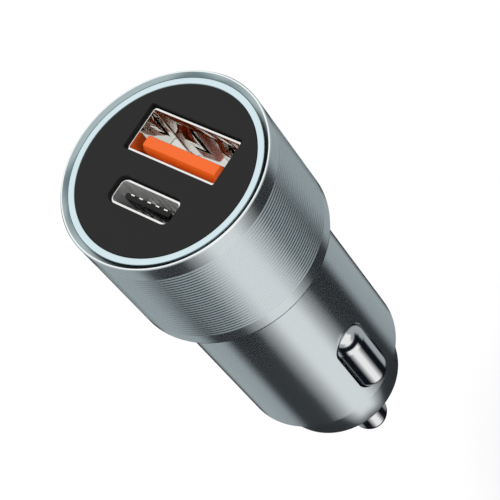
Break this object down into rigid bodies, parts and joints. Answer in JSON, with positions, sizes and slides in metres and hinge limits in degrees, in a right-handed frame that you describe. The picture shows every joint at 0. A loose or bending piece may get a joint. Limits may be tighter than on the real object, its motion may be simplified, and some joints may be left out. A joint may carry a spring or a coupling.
{
  "type": "car usb charger plug",
  "caption": "Turned metal car charger plug: grooved head with a lit ring and a large and a small USB port in a black face, a slotted barrel with sprung side contacts, and a sprung centre pin.",
  "frame": {"origin": "on the axis, in the shoulder between head and barrel, which rests on the rim of the car's socket", "axes": "+Z along the axis out of the face, +X along the ports' long sides and through a side contact, +Y towards the large port"},
  "size_m": [0.0248, 0.0248, 0.0664],
  "materials": {
    "satin_aluminium": "turned, satin, fine grooves",
    "black_panel": "moulded, fine matt texture",
    "light_guide": "translucent, pale blue-white",
    "port_steel": "nickel plated sheet steel",
    "orange_moulding": "moulded, smooth",
    "black_moulding": "moulded",
    "contact_strip": "plated strip",
    "board": "glass fibre board with lacquer",
    "lamp": "small moulded lamp",
    "ferrite": "pressed ferrite",
    "can_aluminium": "drawn can",
    "chip_plastic": "moulded",
    "ceramic_block": "fired, matt",
    "frame_plastic": "moulded",
    "contact_chrome": "bright plated pressed steel",
    "spring_steel": "spring steel",
    "plate_brass": "stamped",
    "bush_plastic": "moulded"
  },
  "bodies": {
    "plug": {"housing": "satin_aluminium", "nose_cap": "satin_aluminium", "light_ring": "light_guide", "front_panel": "black_panel", "usb_a_shell": "port_steel", "usb_a_insulator": "orange_moulding", "usb_a_contacts": "contact_strip", "usb_c_shell": "port_steel", "usb_c_tongue": "black_moulding", "usb_c_contacts": "contact_strip", "port_board": "board", "ring_lights": "lamp", "main_board": "board", "inductor": "ferrite", "input_capacitor": "can_aluminium", "output_capacitor": "chip_plastic", "power_chip": "chip_plastic", "protocol_chip": "chip_plastic", "chip_capacitors": "ceramic_block", "carrier": "frame_plastic", "contact_spring_right": "spring_steel", "contact_spring_left": "spring_steel", "earth_tab_right": "plate_brass", "earth_tab_left": "plate_brass", "pin_bush": "bush_plastic", "positive_plate": "plate_brass", "pin_spring": "spring_steel"},
    "right_contact": {"side_contact_right": "contact_chrome"},
    "left_contact": {"side_contact_left": "contact_chrome"},
    "pin": {"centre_pin": "contact_chrome"}
  },
  "joints": [
    {"name": "right_contact_press", "type": "slide", "parent": "plug", "child": "right_contact", "axis": [-1, 0, 0], "range_m": [0, 0.0015], "stiffness_N_per_m": 1200, "springref_m": -0.001, "deforming": ["contact_spring_right"]},
    {"name": "left_contact_press", "type": "slide", "parent": "plug", "child": "left_contact", "axis": [1, 0, 0], "range_m": [0, 0.0015], "stiffness_N_per_m": 1200, "springref_m": -0.001, "deforming": ["contact_spring_left"]},
    {"name": "pin_press", "type": "slide", "parent": "plug", "child": "pin", "axis": [0, 0, 1], "range_m": [0, 0.003], "stiffness_N_per_m": 1000, "springref_m": -0.003, "deforming": ["pin_spring"]}
  ]
}
